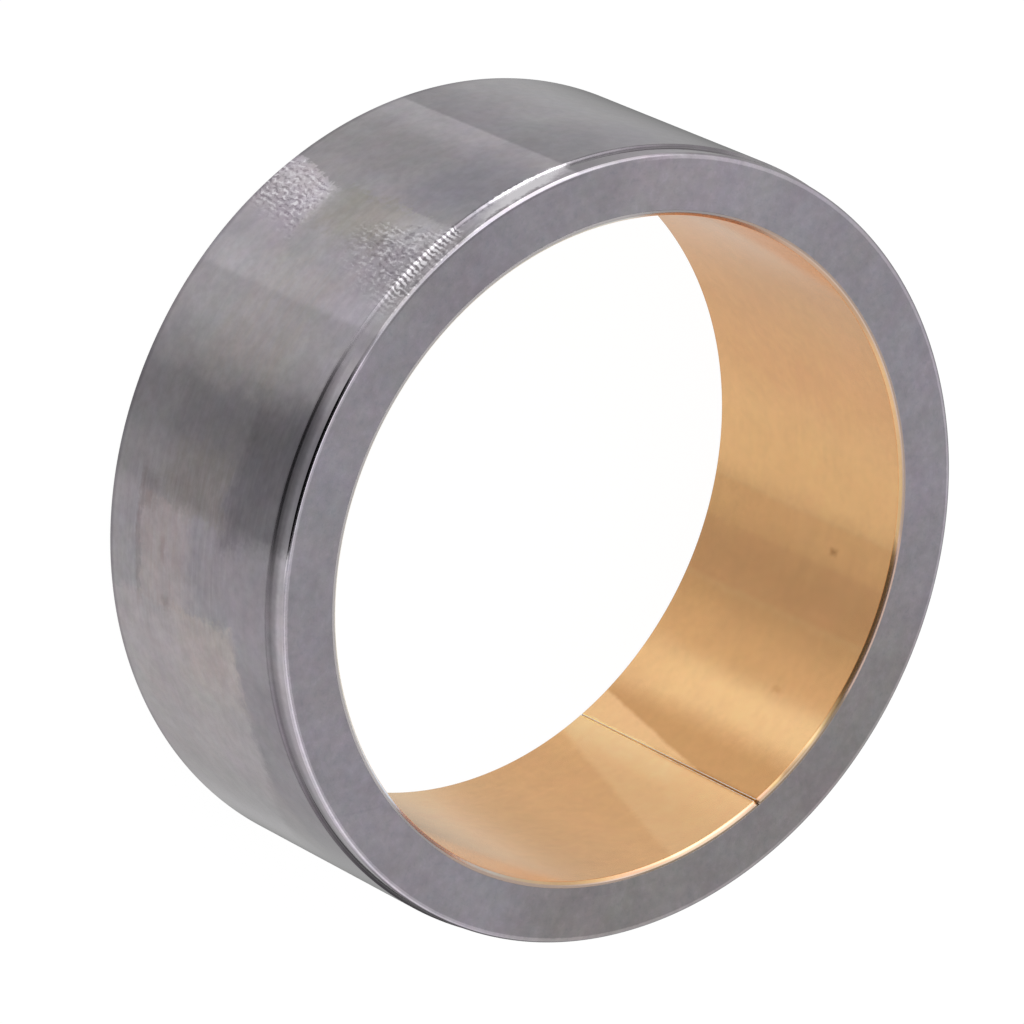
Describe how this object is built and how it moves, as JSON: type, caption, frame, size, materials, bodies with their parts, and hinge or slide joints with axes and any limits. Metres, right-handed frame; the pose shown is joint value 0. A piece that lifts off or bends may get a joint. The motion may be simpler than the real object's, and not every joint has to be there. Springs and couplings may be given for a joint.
{
  "type": "plain bushing",
  "caption": "Plain bushing: a turned steel ring with a stepped end and a thin bronze liner wrapped inside its bore.",
  "frame": {"origin": "centre of the plain end face, on which the bushing stands", "axes": "+Z along the bore axis, from the plain end towards the stepped end; the liner's butt joint lies 60 degrees from +X towards +Y"},
  "size_m": [0.074, 0.074, 0.028],
  "materials": {
    "steel": "turned and ground, dull satin, with handling stains",
    "bronze": "fine bored satin"
  },
  "bodies": {
    "root": {"steel_shell": "steel", "bronze_liner": "bronze"}
  },
  "joints": []
}
